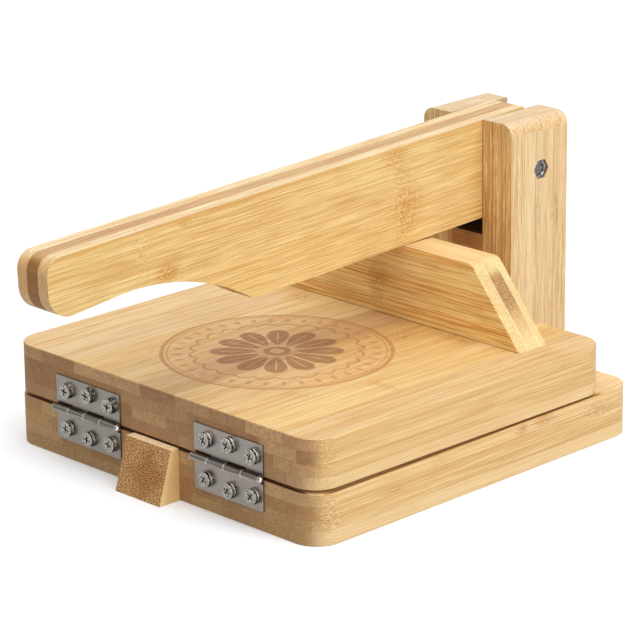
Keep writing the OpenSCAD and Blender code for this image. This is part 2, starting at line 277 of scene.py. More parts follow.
# the spacer's tints are darker than the posts': painted shade of its place between the posts, under the lever
SPACER_SHADED = dict(light=srgb(206, 160, 104), dark=srgb(182, 132, 78), knot=srgb(150, 98, 52),
              streak=srgb(140, 88, 44), edge=srgb(206, 160, 104),
              end_light=srgb(212, 156, 98), end_dark=srgb(150, 96, 50))
STOP = dict(light=srgb(255, 214, 146), dark=srgb(255, 204, 134), knot=srgb(214, 160, 96),
            streak=srgb(236, 180, 112), edge=srgb(250, 212, 146),
            end_light=srgb(218, 162, 98), end_dark=srgb(158, 104, 50))


# ---------------------------------------------------------------- bamboo

GRAIN = dict(
    long="y", across="x",           # axes along the culm and across the strips
    strip=21.0, layer=6.8,          # width and thickness of a strip, mm
    shift=(0.0, 0.0),               # where the strips and the layers start, in strips and in layers
    seed=0.0,                       # another number gives other strips
    tilt=0.0,                       # slope of the piece, degrees
    about=(0.0, 0.0, 0.0),          # the point that the slope turns about
    spread=0.5,                     # share of the tone that goes by strip
    dash=0.045,                     # streaks per mm along a strip
    wide=1.6, flat=None,            # streaks per mm through a strip and across it, where None means as many
    line=0.65, fine=0.55,           # strength of the broad and the fine streaks
    edge_line=1.0,                  # their share on the narrow edges of the strips
    patchy=0.5,                     # how far they fade from place to place
    knots=0.6,                      # strength of the nodes that come by chance
    marks=(), marks_over="across",  # nodes at known places, over the width or the depth of the strips
    cell=0.9,                       # fibre bundles per mm
    speck=0.30, rim=0.35,           # their strength on the ends, and where a corner cuts them aslant
    glue=0.40,                      # strength of the glue lines
    extra=None)                     # what a single piece has beside
# strips of the next layer start this share of a strip further on
STAGGER = 0.37
# mm from one node of a culm to the next
NODE_PERIOD = 260.0
# mm along the noise, at most, between the grain of one strip and of another
CULM_APART = 900.0
# fine streaks are this much shorter and narrower than broad ones
SHORTER, NARROWER = 2.2, 1.9
# mm on each side of a glue line that it darkens, fully and at all
GLUE_FULL, GLUE_REACH = 0.05, 0.32
# added to the numbers of strips, layers and nodes, so that none is below 0
FAR_STRIP, FAR_LAYER, FAR_PERIOD = 60.0, 40.0, 40.0

# a node at a known place: mm along the grain and over it, half length and half width in mm, and the
# strength of its brown and of its flecks
Mark = namedtuple("Mark", "along over length width brown flecks")


def bamboo(name, tints, **settings):
    """Glued bamboo strips: streaky grain and nodes on the long faces, fibre bundles on the ends."""
    g = Graph(name)
    s = SimpleNamespace(**{**GRAIN, **settings})
    pos, nor = g.coords(s.tilt, s.about)
    w = strips(g, s, pos, nor)
    draw_grain(g, s, w)
    col = long_grain(g, s, w, tints)
    col = culm_nodes(g, s, w, tints, col)
    col = end_grain(g, s, w, tints, col)
    col = g.mix(w.seam * s.glue, col, g.shade(tints["knot"], 0.80))
    height = w.thin * 0.6 - w.deep * w.busy * 0.25 - w.seam * 0.5 - w.bundle * w.end * 0.35
    rough = w.thin * 0.20 + 0.40 + w.end * 0.14
    if s.extra:
        col, rough, height = s.extra(g, pos, nor, col, rough, height)
    return g.surface(col, rough, height, depth=0.08, strength=0.5, Specular_IOR_Level=0.35)


def strips(g, s, pos, nor):
    """Which strip a point is in, and how it lies to the grain."""
    places = dict(zip("xyz", g.split(pos)))
    normals = dict(zip("xyz", g.split(nor)))
    thick = ({"x", "y", "z"} - {s.long, s.across}).pop()
    w = SimpleNamespace(along=places[s.long], over=places[s.across], depth=places[thick])
    w.lean = abs(normals[s.long])
    w.on_edge = g.facing(normals[s.across])
    w.on_face = g.facing(normals[thick])
    w.end = g.ramp(w.lean, 0.40, 0.86)

    # row through the thickness and strip across it, rows staggered
    layers = w.depth / s.layer + (s.shift[1] + FAR_LAYER)
    row = g.math("FLOOR", layers)
    w.in_layer = g.math("FRACT", layers)
    across = w.over / s.strip + (row * STAGGER + (s.shift[0] + FAR_STRIP))
    strip = g.math("FLOOR", across)
    in_strip = g.math("FRACT", across)
    w.tone, w.node_at, w.culm = g.dice(g.vec(strip, row, s.seed))
    w.node_power, w.end_tone, _ = g.dice(g.vec(strip, row, s.seed + 0.5))

    to_side = g.minimum(in_strip, 1.0 - in_strip) * s.strip
    to_layer = g.minimum(w.in_layer, 1.0 - w.in_layer) * s.layer
    w.seam = g.maximum(g.ramp(to_side, GLUE_REACH, GLUE_FULL) * (1.0 - w.on_edge),
                       g.ramp(to_layer, GLUE_REACH, GLUE_FULL) * (1.0 - w.on_face))
    return w


def draw_grain(g, s, w):
    """The noises that the grain comes from, drawn out along the culm and different in every strip."""
    def drawn(along, through, across=None, detail=1.0, rough=0.5):
        at = g.vec((w.along + w.culm * CULM_APART) * along, w.over * (across or through), w.depth * through)
        return g.noise(at, detail=detail, rough=rough)

    flat = s.flat or s.wide
    w.band = drawn(0.007, 0.14, detail=2.0, rough=0.55)
    w.streak = drawn(s.dash, s.wide, flat, detail=2.0)
    w.thin = drawn(SHORTER * s.dash, NARROWER * s.wide, NARROWER * flat)
    w.vein = g.ramp(abs(drawn(0.0045, 0.55) - 0.5), 0.042, 0.010)
    w.fleck = drawn(0.50, 1.0)
    w.deep = g.ramp(w.streak, 0.50, 0.62)
    w.busy = g.ramp(w.band, 0.36, 0.60, 1.0 - s.patchy, 1.0)


def long_grain(g, s, w, tints):
    """Tone of each strip, pale and dark streaks along it, and long veins."""
    share = w.tone * s.spread + g.ramp(w.band, 0.32, 0.68) * (1.0 - s.spread)
    edge = g.mix(share, tints["edge"], g.shade(tints["edge"], 0.84))
    col = g.mix(w.on_edge * 0.7, g.mix(share, tints["light"], tints["dark"]), edge)
    gain = w.busy * (w.on_edge * (s.edge_line - 1.0) + 1.0)
    col = g.mix(g.ramp(w.streak, 0.47, 0.36) * gain * 0.6, col, g.shade(tints["light"], 1.08))
    col = g.mix(w.deep * gain * s.line, col, tints["streak"])
    col = g.mix(g.ramp(w.thin, 0.50, 0.62) * gain * s.fine, col, tints["streak"])
    return g.mix(w.vein * ((w.on_edge * 0.65 + 0.35) * (0.5 * s.edge_line)), col, tints["streak"])


def culm_nodes(g, s, w, tints, col):
    """Nodes of the culm: a feathered brown patch and a band of short dark and pale flecks."""
    wander = (w.band - 0.5) * 14.0 + (w.thin - 0.5) * 6.0
    turn = w.along + wander + w.node_at * NODE_PERIOD + FAR_PERIOD * NODE_PERIOD
    away = abs(turn % NODE_PERIOD - 0.5 * NODE_PERIOD)
    power = (w.node_power * 0.75 + 0.25) * s.knots
    patch = g.ramp(away + w.thin * 14.0, 20.0, 8.0) * (power * 0.7)
    dots = g.ramp(away, 4.5, 1.5) * power
    over = w.over if s.marks_over == "across" else w.depth
    for mark in s.marks:
        u = (w.along + (w.thin - 0.5) * (3.2 * mark.length) - mark.along) / mark.length
        v = (over + (w.fleck - 0.5) * 2.0 - mark.over) / mark.width
        here = g.ramp(u * u + v * v, 1.5, 0.1)
        patch = g.maximum(patch, here * mark.brown)
        dots = g.maximum(dots, here * mark.flecks)
    col = g.mix(patch * (w.deep * 0.55 + 0.45), col, tints["knot"])
    col = g.mix(g.ramp(w.fleck, 0.50, 0.60) * dots * 0.6, col, g.shade(tints["knot"], 0.9))
    return g.mix(g.ramp(w.fleck, 0.50, 0.40) * dots * 0.5, col, g.shade(tints["light"], 1.05))


def end_grain(g, s, w, tints, col):
    """Fibre bundles on the ends, showing most where a rounded corner cuts them aslant."""
    plane = g.vec(w.along * 0.4, w.over, w.depth)
    w.bundle = g.ramp(g.cells(plane, s.cell) - w.in_layer * 0.15, 0.42, 0.18)
    cloud = g.ramp(g.noise(plane, 0.25), 0.3, 0.7)
    end = g.mix(w.end_tone * 0.80 + cloud * 0.20, tints["end_light"], tints["end_dark"])
    end = g.mix(w.bundle * s.speck, end, g.shade(tints["end_dark"], 0.66))
    aslant = g.ramp(w.lean, 0.08, 0.35) * g.ramp(w.lean, 1.0, 0.93) * s.rim
    return g.mix(w.bundle * aslant, g.mix(w.end, col, end), g.mix(0.5, tints["streak"], tints["end_dark"]))


# ---------------------------------------------------------------- what single bamboo pieces have beside

# tops of the boards' pale lowest layers, and the tints of these layers
BASE_PALE_Z, PLATE_PALE_Z = 7.7, 35.9
BASE_PALE, PLATE_PALE, PLATE_PALE_FRONT = srgb(246, 216, 166), srgb(246, 214, 160), srgb(186, 148, 106)
# the painted shade in the gap ends near the rear and is darkest at the front: from where to where along Y
GAP_SHADE_REAR, GAP_SHADE_FRONT = (95.0, 90.0), (-108.0, -117.0)
GAP_SHADE_SIDE, GAP_SHADE_DARKEST = srgb(158, 94, 0), srgb(86, 28, 0)
FOOT_SPECK = srgb(116, 68, 30)


def gap_painted_shade(g, pos, nor, col, rough, half, up):
    """Painted shade on the faces that look into the narrow gap between the boards, and on the wood behind the
    hinges.

    half is the board's half width, and up is 1 for a top face and -1 for an underside.
    """
    x, y, z = g.split(pos)
    _, ny, nz = g.split(nor)
    rim = g.maximum(g.ramp(abs(x), half - 3.2, half - 1.6), g.ramp(y, FRONT_Y + 3.2, FRONT_Y + 1.6))
    gap = g.between(z, BASE_TOP - 0.5, HINGE_Z + 1.8, 0.5) * g.ramp(nz * up, 0.55, 0.9)
    ends = g.ramp(y, *GAP_SHADE_REAR) * g.ramp(y, *GAP_SHADE_FRONT, 0.85, 0.94)
    from_leaf = abs(abs(x - HINGE_MID) - HINGE_X)
    notch = g.ramp(from_leaf, LEAF_HALF + 0.6, LEAF_HALF - 0.2) * g.ramp(ny, -0.5, -0.9)
    notch = notch * g.between(z, HINGE_Z - 3.9, HINGE_Z + 3.4, 0.3)
    dark = g.maximum(rim * gap * ends, notch * 0.85)
    gap_shade = g.mix(g.ramp(y, *GAP_SHADE_FRONT), GAP_SHADE_SIDE, GAP_SHADE_DARKEST)
    return g.mix(dark, col, gap_shade), g.math("ADD", rough, dark, clamp=True)


def base_extra(g, pos, nor, col, rough, height):
    """Pale sides of the base's lowest layer, dark specks low on its front, and painted shade in the gap above
    it.
    """
    x, _, z = g.split(pos)
    nx, ny, _ = g.split(nor)
    low_side = g.ramp(z, BASE_PALE_Z + 0.3, BASE_PALE_Z - 0.3) * g.ramp(abs(nx), 0.35, 0.8)
    col = g.mix(low_side * 0.45, col, BASE_PALE)
    left_foot = g.ramp(x, -52.0, -78.0) * g.between(z, 1.5, 8.5, 2.5) * g.ramp(ny, -0.6, -0.9)
    specks = g.ramp(g.noise(pos, 1.5, rough=0.6), 0.48, 0.60) * left_foot
    col = g.mix(specks * 0.50, col, FOOT_SPECK)
    col, rough = gap_painted_shade(g, pos, nor, col, rough, BASE_HALF, 1.0)
    return col, rough, height


# the plate's top has painted shade that darkens it to the right, and is golden from one place along X to
# another
PLATE_SHADE_RIGHT = linear(0.86, 0.85, 0.84)
PLATE_GOLD, GOLD_FROM, GOLD_TO = linear(0.90, 0.79, 0.58), 13.0, 66.0
# tones of its glued strips from the left: the place where each ends, and its tint
PLATE_LEFT = -125.0
PLATE_STRIPS = ((-92.0, linear(1.0, 0.98, 1.02)), (-66.0, linear(0.96, 0.92, 0.93)),
                (-40.0, linear(1.03, 1.03, 1.0)), (-14.0, linear(0.98, 0.96, 0.90)),
                (GOLD_FROM, linear(0.84, 0.76, 0.73)), (GOLD_TO, None),
                (91.0, linear(1.02, 1.03, 0.98)), (125.0, linear(0.95, 0.91, 0.90)))


def plate_extra(g, pos, nor, col, rough, height):
    """Pale lowest layer of the plate, painted shade on its top towards the right and on its underside rim,
    and the toned strips and rosette of its top.
    """
    x, y, z = g.split(pos)
    nx, _, nz = g.split(nor)
    top = g.ramp(nz, 0.6, 0.9)
    # painted shade: the top grows darker towards the right
    painted_shade = top * g.ramp(x - y * 0.5, -110.0, 70.0)
    col = g.mix(painted_shade, col, PLATE_SHADE_RIGHT, "MULTIPLY")
    low_side = g.ramp(z, PLATE_PALE_Z + 0.3, PLATE_PALE_Z - 0.3) * g.ramp(abs(nz), 0.6, 0.3)
    col = g.mix(low_side * 0.40, col, g.mix(g.ramp(nx, 0.2, 0.6), PLATE_PALE_FRONT, PLATE_PALE))
    start = PLATE_LEFT
    for stop, tone in PLATE_STRIPS:
        if tone:
            col = g.mix(top * g.between(x, start, stop, 0.3), col, tone, "MULTIPLY")
        start = stop
    golden = top * g.between(x, GOLD_FROM, GOLD_TO, 0.3) * g.ramp(y, -60.0, 50.0, 0.35, 1.0)
    col = g.mix(golden, col, PLATE_GOLD, "MULTIPLY")
    col, rough = gap_painted_shade(g, pos, nor, col, rough, PLATE_HALF, -1.0)
    return rosette(g, pos, nor, col, rough, height)


# the rosette: its centre, and how much larger it is than the radii below, all in mm
ROSE_Y, ROSE_SIZE = -34.4, 1.04
PETALS, PETAL_R, PETAL_HALF = 12, 22.0, 13.0
SCALLOPS, SCALLOP_R, SCALLOP_RISE = 24, 41.0, 3.2
SEEDS, SEED_R = 36, 50.5
THIN_RING_R, RING_R = 55.6, 58.4
ROSE_GROUND, ROSE_LINE, ROSE_PETAL = srgb(205, 146, 98), srgb(172, 110, 54), srgb(138, 86, 54)


def rosette(g, pos, nor, col, rough, height):
    """A scorched rosette on the plate's top: petals, a scalloped line, a ring of seeds and two rings."""
    x, y, _ = g.split(pos)
    top = g.ramp(g.split(nor)[Z], 0.80, 0.95)
    x, y = x / ROSE_SIZE, (y - ROSE_Y) / ROSE_SIZE
    r = g.math("SQRT", x * x + y * y)
    angle = g.math("ARCTAN2", y, x)

    def wave(count):
        """Runs from 0 to 1 and back count times round the circle."""
        return abs(g.math("SINE", angle * (count / 2)))

    def ring(radius, half, soft=0.35):
        return g.ramp(abs(r - radius), half + soft, half)

    # a petal is where a wave round the circle and a lens along the radius add up to more than 1, and a
    # fine vein down its middle stays unburnt
    lens = 1.0 - abs((r - PETAL_R) / PETAL_HALF) ** 2.2
    petal = g.ramp(lens - (1.0 - wave(PETALS)), 0.10, 0.22)
    vein = g.ramp(wave(PETALS), 0.995, 0.999) * g.ramp(r, 31.0, 27.0)
    petal = g.math("SUBTRACT", petal, vein, clamp=True)
    heart = g.ramp(r, 7.2, 6.6) * g.ramp(r, 3.4, 4.0)
    scallops = g.ramp(abs(r - (wave(SCALLOPS) * SCALLOP_RISE + SCALLOP_R)), 1.0, 0.6)
    # a seed is an oval at the middle of its share of the circle
    share = g.math("FRACT", angle / (math.tau / SEEDS) + 100.5) - 0.5
    along, out = share * (math.tau * SEED_R / SEEDS), r - SEED_R
    seeds = g.ramp(along * along * 0.55 + out * out * 0.14, 1.25, 0.85)
    rings = g.maximum(ring(RING_R, 0.9), ring(THIN_RING_R, 0.35) * 0.7)

    there = top * g.ramp(g.noise(pos, 0.35, 3.0, 0.65), 0.25, 0.55, 0.74, 1.0)
    strong = g.maximum(petal, heart * 0.9) * 0.72
    weak = g.maximum(g.maximum(rings, scallops), seeds * 0.8) * 0.62
    col = g.mix(g.ramp(r, RING_R + 0.6, RING_R - 0.4) * top * 0.16, col, ROSE_GROUND)
    col = g.mix(weak * there, col, ROSE_LINE)
    col = g.mix(strong * there, col, ROSE_PETAL)
    burnt = g.maximum(strong, weak) * there
    return col, rough + burnt * 0.12, height - burnt * 1.6


# painted shade: the slot grows darker from the first of these heights down to the second
SLOT_FADE = (128.0, 106.0)
SLOT_SHADE_COLOUR = srgb(34, 16, 6)


def slot_painted_shade(g, pos, nor, col, rough, height):
    """Painted shade: the faces that look into the slot between the posts, and the top of the spacer below it,
    are dark.
    """
    x, _, z = g.split(pos)
    nx, _, nz = g.split(nor)
    inner = g.ramp(abs(x - SLOT_MID), SLOT_HALF + 1.35, SLOT_HALF + 0.65)
    inner = inner * g.ramp(g.maximum(abs(nx), nz), 0.7, 0.95)
    deep = g.ramp(z, SPACER_TOP - 1.0, SPACER_TOP - 0.2) * g.ramp(z, *SLOT_FADE, 0.35, 1.0)
    return g.mix(inner * deep * 0.85, col, SLOT_SHADE_COLOUR), rough, height


# the rib core's ends: heights where the gold and the dark start and where both stop, and the tints
GOLD_START, DARK_START, BOTH_STOP = (56.0, 68.0), (66.0, 78.0), (92.0, 88.0)
END_GOLD, END_DARK, END_PALE = srgb(196, 144, 76), srgb(140, 88, 36), srgb(244, 228, 186)


def rib_core_end(g, pos, nor, col, rough, height):
    """The sawn ends of the rib core run from pale at the top through dark brown to golden."""
    _, y, z = g.split(pos)
    ends = g.ramp(abs(g.split(nor)[X]), 0.45, 0.7)
    grit = g.noise(pos, 1.1, rough=0.6)
    level = z + (grit - 0.5) * 9.0
    below_top = ends * g.ramp(level, *BOTH_STOP)
    col = g.mix(below_top * g.ramp(level, *GOLD_START) * 0.40, col, END_GOLD)
    col = g.mix(below_top * g.ramp(level, *DARK_START) * g.ramp(grit, 0.35, 0.6, 0.35, 0.8), col, END_DARK)
    # pale beside both glue joints
    from_core = abs(y - (z * RIB_LEAN + RIB_CORE_Y))
    return g.mix(ends * g.ramp(from_core, 4.1, 4.6) * 0.6, col, END_PALE), rough, height


# the lever's upper edge turns golden between these heights, measured with the lever's slope taken off
EDGE_RISE = (151.8, 154.2)
EDGE_GOLD = srgb(214, 160, 76)


def lever_edge(g, pos, nor, col, rough, height):
    """A deeper golden line along the upper edge of the lever's flat sides."""
    upper = g.facing(g.split(nor)[X]) * g.ramp(g.split(pos)[Z], *EDGE_RISE)
    return g.mix(upper * 0.45, col, EDGE_GOLD), rough, height


# the dark heart of the wedge's front: its middle, and the pale and dark flecks outside and inside it
HEART_X, HEART_Z = 2.0, 13.0
FLECK_PALE, HEART_PALE = srgb(248, 204, 144), srgb(216, 158, 94)
FLECK_DARK, HEART_DARK = srgb(146, 94, 44), srgb(104, 58, 22)
# what the colours of the heart, of the wedge's top and of its cheeks are multiplied by; on the cheeks it is
# painted light
HEART_TINT = linear(0.80, 0.72, 0.64)
TOP_TINT = linear(1.03, 1.22, 1.80)
CHEEK_PAINTED_LIGHT = linear(1.20, 1.26, 1.38)
# slope of the wedge's front, mm along Y for each mm up
WEDGE_SLOPE = 0.26


def wedge_grit(g, pos, nor, col, rough, height):
    """Coarse sawn end grain on the front of the wedge: short pale and dark flecks on the slant."""
    x, y, z = g.split(pos)
    nx, ny, nz = g.split(nor)
    front = g.ramp(-ny, 0.4, 0.8)
    grit = g.noise(g.vec((x + z * 0.6) * 0.85, (z - x * 0.35) * 1.5, 3.0), rough=0.7)
    # the heart has a cloudy border
    cloud = g.noise(g.vec(x * 0.12, 0.0, z * 0.12))
    heart = g.ramp(abs(x - HEART_X) + abs(z - HEART_Z) + cloud * 16.0, 27.0, 15.0)
    col = g.mix(front * heart, col, HEART_TINT, "MULTIPLY")
    col = g.mix(front * g.ramp(grit, 0.50, 0.60, 0.0, 0.90), col, g.mix(heart, FLECK_PALE, HEART_PALE))
    col = g.mix(front * g.ramp(grit, 0.50, 0.40, 0.0, 0.90), col, g.mix(heart, FLECK_DARK, HEART_DARK))
    # the top is paler, and the cheeks are lightened with painted light towards the sloping front
    col = g.mix(g.ramp(nz, 0.8, 0.95), col, TOP_TINT, "MULTIPLY")
    cheek_light = g.ramp(abs(nx), 0.6, 0.9) * g.ramp(y - z * WEDGE_SLOPE, FRONT_Y - 8.6, FRONT_Y - 13.6)
    col = g.mix(cheek_light, col, CHEEK_PAINTED_LIGHT, "MULTIPLY")
    return col, rough, height + front * grit


# ---------------------------------------------------------------- bamboo pieces

PLATE_MARKS = (Mark(-35.0, 79.0, 3.5, 11.0, 0.50, 0.5), Mark(46.0, 53.0, 5.0, 12.0, 0.40, 0.7),
               Mark(28.0, 27.0, 10.0, 11.0, 0.40, 0.7), Mark(40.0, -58.0, 6.0, 9.0, 0.35, 0.6))
BASE_MARKS = (Mark(29.0, 24.2, 5.0, 3.0, 0.95, 0.5), Mark(46.0, 25.0, 9.0, 3.2, 0.80, 0.4),
              Mark(-65.0, 17.0, 9.0, 2.4, 0.35, 0.3), Mark(-107.0, 13.5, 6.0, 5.0, 0.25, 0.7),
              Mark(88.0, 20.0, 14.0, 5.0, 0.22, 0.5))
POST_MARKS = (Mark(102.0, 134.0, 9.0, 2.4, 0.45, 0.3), Mark(88.0, 132.0, 16.0, 2.0, 0.35, 0.1),
              Mark(99.0, 148.5, 13.0, 3.0, 0.42, 0.4))
LEVER_MARKS = (Mark(48.5, 125.0, 6.0, 36.0, 0.32, 0.6), Mark(52.0, 121.0, 11.0, 15.0, 0.80, 0.7),
               Mark(45.0, 150.0, 9.0, 6.0, 0.65, 0.5), Mark(-134.5, 144.0, 6.0, 17.0, 0.0, 0.45),
               Mark(-119.0, 129.0, 7.5, 6.0, 1.0, 0.6), Mark(-100.0, 127.0, 16.0, 4.0, 0.35, 0.2),
               Mark(-106.5, 152.0, 6.0, 2.4, 0.80, 0.5))
RIB_MARKS = (Mark(-10.0, 74.0, 7.0, 16.0, 0.45, 0.35), Mark(-40.0, 62.0, 12.0, 8.0, 0.35, 0.2),
             Mark(-46.0, 88.0, 9.0, 4.0, 0.40, 0.5))

# what the pieces of a kind share
FLAT_BOARD = dict(knots=0.3, speck=0.42, flat=0.75, fine=0.60)
STAND = dict(long="z", across="y", strip=14.7, layer=7.03, edge_line=1.7, speck=0.30, rim=0.7, knots=0.25,
             marks=POST_MARKS, extra=slot_painted_shade)
BAR = dict(long="y", across="z", strip=19.2, layer=30.0, tilt=LEVER_TILT, about=PIVOT, knots=0.3, glue=0.12,
           spread=0.10, wide=1.8, dash=0.018, line=0.62, fine=0.72, patchy=0.15)
BAR_SIDE = dict(BAR, shift=(0.1, 0.5), marks=LEVER_MARKS, extra=lever_edge)
WEB = dict(long="x", across="z", strip=20.5, layer=30.0, shift=(0.3, 0.0), speck=0.30, knots=0.3, glue=0.10,
           spread=0.3, wide=1.15, dash=0.013, line=0.48, fine=0.80, edge_line=0.35, patchy=0.35)
DOWEL = dict(strip=8.0, layer=8.0)

mats = {
    "press_plate": bamboo("plate_bamboo", BOARD, strip=26.1, layer=6.68, shift=(0.711, 0.63), seed=1.0,
                          tilt=PLATE_TILT, about=(0.0, HINGE_Y, HINGE_Z), dash=0.014, line=0.42,
                          marks=PLATE_MARKS, extra=plate_extra, **FLAT_BOARD),
    "base_board": bamboo("base_bamboo", BASE, strip=23.0, layer=6.83, shift=(0.1, 0.0), seed=4.0, dash=0.016,
                         line=0.5, marks=BASE_MARKS, marks_over="depth", extra=base_extra, **FLAT_BOARD),
    "left_post": bamboo("post_bamboo_l", POST, shift=(0.37, 0.26), seed=8.0, **STAND),
    "right_post": bamboo("post_bamboo_r", POST, shift=(0.37, 0.42), seed=11.0, **STAND),
    "spacer_block": bamboo("spacer_bamboo_shaded", SPACER_SHADED, long="x", across="z", strip=30.0, layer=7.2, seed=3.0,
                           line=0.3, extra=slot_painted_shade),
    "stop_wedge": bamboo("wedge_bamboo", STOP, strip=36.0, layer=34.0, shift=(0.5, 0.1), seed=5.0, cell=1.25,
                         speck=0.8, glue=0.1, line=0.15, fine=0.1, edge_line=0.3, extra=wedge_grit),
    "lever_left_ply": bamboo("lever_bamboo_l", LEVER, seed=21.0, **BAR_SIDE),
    "lever_core_ply": bamboo("lever_bamboo_c", CORE, seed=24.0, shift=(0.4, 0.5), **BAR),
    "lever_right_ply": bamboo("lever_bamboo_r", LEVER, seed=27.0, **BAR_SIDE),
    "rib_front_ply": bamboo("rib_bamboo_f", RIB, seed=31.0, marks=RIB_MARKS, **WEB),
    "rib_core_ply": bamboo("rib_bamboo_c", RIB, seed=34.0, extra=rib_core_end, **WEB),
    "rib_back_ply": bamboo("rib_bamboo_b", RIB, seed=37.0, **WEB),
    "spacer_dowels": bamboo("dowel_wood", POST, long="x", across="y", seed=41.0, **DOWEL),
    "wedge_dowels": bamboo("dowel_wood_y", POST, long="y", across="x", seed=42.0, **DOWEL),
    "rib_dowels": bamboo("dowel_wood_z", POST, long="z", across="x", seed=43.0, **DOWEL),
}


# ---------------------------------------------------------------- metal

def metal(name, colour, rough, tones):
    """Satin plating, brushed along X and faintly smeared; tones shades it for one kind of piece."""
    g = Graph(name)
    pos, nor = g.coords()
    x, y, z = g.split(pos)
    brush = g.noise(g.vec(x * 0.12, y * 4.0, z * 4.0), rough=0.6)
    smear = g.noise(pos, 0.16, 3.0, 0.6)
    tone = tones(g, pos, nor, brush * 0.24 + smear * 0.28 + 0.74)
    rough = brush * 0.08 + smear * 0.08 + (rough - 0.07)
    return g.surface(g.shade(colour, tone), rough, brush, depth=0.02, strength=0.35, Metallic=1.0)


def knuckle_seams(g, pos, nor, tone):
    """Painted highlights where two knuckles meet; painted reflections on the barrel: dark streaks, a dark
    line, a low bright line and a darker crown.
    """
    x, y, _ = g.split(pos)
    nz = g.split(nor)[Z]
    barrel = g.ramp(y, HINGE_Y + 1.25, HINGE_Y + 0.95)
    from_start = abs(x - HINGE_MID) - (HINGE_X - LEAF_HALF)
    to_seam = abs(g.math("FRACT", from_start / KNUCKLE + 20.5) - 0.5) * KNUCKLE
    # painted highlights at the seams, and painted reflections along the barrel
    seam_highlight = g.ramp(to_seam, 0.60, 0.25) * barrel
    low_reflection_line = g.ramp(nz, -0.36, -0.48) * g.ramp(nz, -0.76, -0.62) * barrel
    drawn = g.ramp(g.noise(g.vec(x * 0.04, nz * 3.5, 0.0), detail=1.0), 0.58, 0.42)
    dark_reflection_line = g.ramp(abs(nz - 0.25), 0.16, 0.05)
    painted_shade = barrel * (drawn * 0.40 + dark_reflection_line * 0.40)
    crown_shade = g.ramp(nz, 0.80, 0.98) * barrel
    return tone * (1.0 - painted_shade - crown_shade * 0.4) + (seam_highlight * 1.9 + low_reflection_line * 1.6)


def screw_tones(g, pos, nor, tone):
    """Grey faces with blotches, painted highlights on the upper rims, and walls in painted shade with painted
    glints above.
    """
    nx, ny, nz = g.split(nor)
    face = g.ramp(abs(ny), 0.90, 0.985)
    wall = g.ramp(abs(ny), 0.55, 0.25)
    rim = g.math("SUBTRACT", 1.0 - face, wall, clamp=True)
    lit = g.ramp(nz * 0.75 + nx * 0.45, -0.1, 0.75)
    mottle_and_glint = g.noise(pos, 0.9, rough=0.6)
    on_face = face * g.ramp(mottle_and_glint, 0.38, 0.62, 0.42, 1.0)
    painted_wall_shade_and_glint = wall * (lit * g.ramp(mottle_and_glint, 0.42, 0.60) * 2.0 + 0.10)
    painted_rim_highlight = rim * (lit * 1.9 + 0.55)
    return tone * (on_face + (painted_wall_shade_and_glint + painted_rim_highlight))


def patchy_tones(g, pos, nor, tone):
    """Dark patchy plating with painted highlights on its edges, on the nut, the bolt and the hinge pins."""
    nx = abs(g.split(nor)[X])
    patches = g.ramp(g.noise(pos, 0.75, 3.0, 0.7), 0.40, 0.62, 0.22, 1.0)
    # painted highlight on the edges
    edge = g.ramp(nx, 0.97, 0.88) * g.ramp(nx, 0.25, 0.5)
    return tone * (patches + edge * 0.35)


# the same plating on both hinges, the left in a darker copy: painted shade
hinge_shaded_l = metal("hinge_nickel_shaded_l", linear(0.245, 0.222, 0.194), 0.34, knuckle_seams)
hinge_r = metal("hinge_nickel_r", linear(0.272, 0.246, 0.220), 0.34, knuckle_seams)
screw_mat = metal("screw_plate", linear(0.40, 0.375, 0.34), 0.22, screw_tones)
pin_mat = metal("pin_plate", linear(0.62, 0.60, 0.57), 0.24, patchy_tones)
nut_mat = metal("nut_plate", linear(0.25, 0.23, 0.225), 0.26, patchy_tones)
for side, leaf_mat in (("left", hinge_shaded_l), ("right", hinge_r)):
    mats[side + "_hinge_base_leaf"] = leaf_mat
    mats[side + "_hinge_plate_leaf"] = leaf_mat
    mats[side + "_hinge_pin"] = pin_mat
    mats[side + "_base_screws"] = screw_mat
    mats[side + "_plate_screws"] = screw_mat
mats["post_screws"] = screw_mat
mats["pivot_bolt"] = nut_mat
mats["pivot_nut"] = nut_mat

for node, mat in mats.items():
    slots = NODES[node].data.materials
    slots.clear()
    slots.append(mat)


# ---------------------------------------------------------------- eased edges

def ease(node, width, angle=30.0, segments=3, group=None):
    """Rounds a CAD node's sharp edges by width mm with modifiers; group keeps to some of its vertices."""
    o = NODES[node]
    for face in o.data.polygons:
        face.use_smooth = True
    weld = o.modifiers.new("weld", "WELD")
    weld.merge_threshold = 0.002 * MM
    flat = o.modifiers.new("flat", "DECIMATE")
    flat.decimate_type = "DISSOLVE"
    flat.angle_limit = math.radians(0.2)
    bevel = o.modifiers.new("ease", "BEVEL")
    bevel.width = width * MM
    bevel.segments = segments
    bevel.limit_method = "ANGLE"
    bevel.angle_limit = math.radians(angle)
    bevel.use_clamp_overlap = True
    if group:
        picked = o.vertex_groups.new(name="ease")
        picked.add([v.index for v in o.data.vertices if group(v.co)], 1.0, "REPLACE")
        bevel.limit_method = "VGROUP"
        bevel.vertex_group = "ease"
        crisp = o.modifiers.new("crisp", "BEVEL")
        crisp.width = 0.05 * MM
        crisp.segments = 1
        crisp.limit_method = "ANGLE"
        crisp.angle_limit = math.radians(50.0)
    normals = o.modifiers.new("normals", "WEIGHTED_NORMAL")
    normals.keep_sharp = False
    normals.weight = 80


def near_face(face, axis):
    """Picks the vertices within 2 mm of a place on an axis, given in mm."""
    return lambda co: abs(co[axis] / MM - face) < 2.0


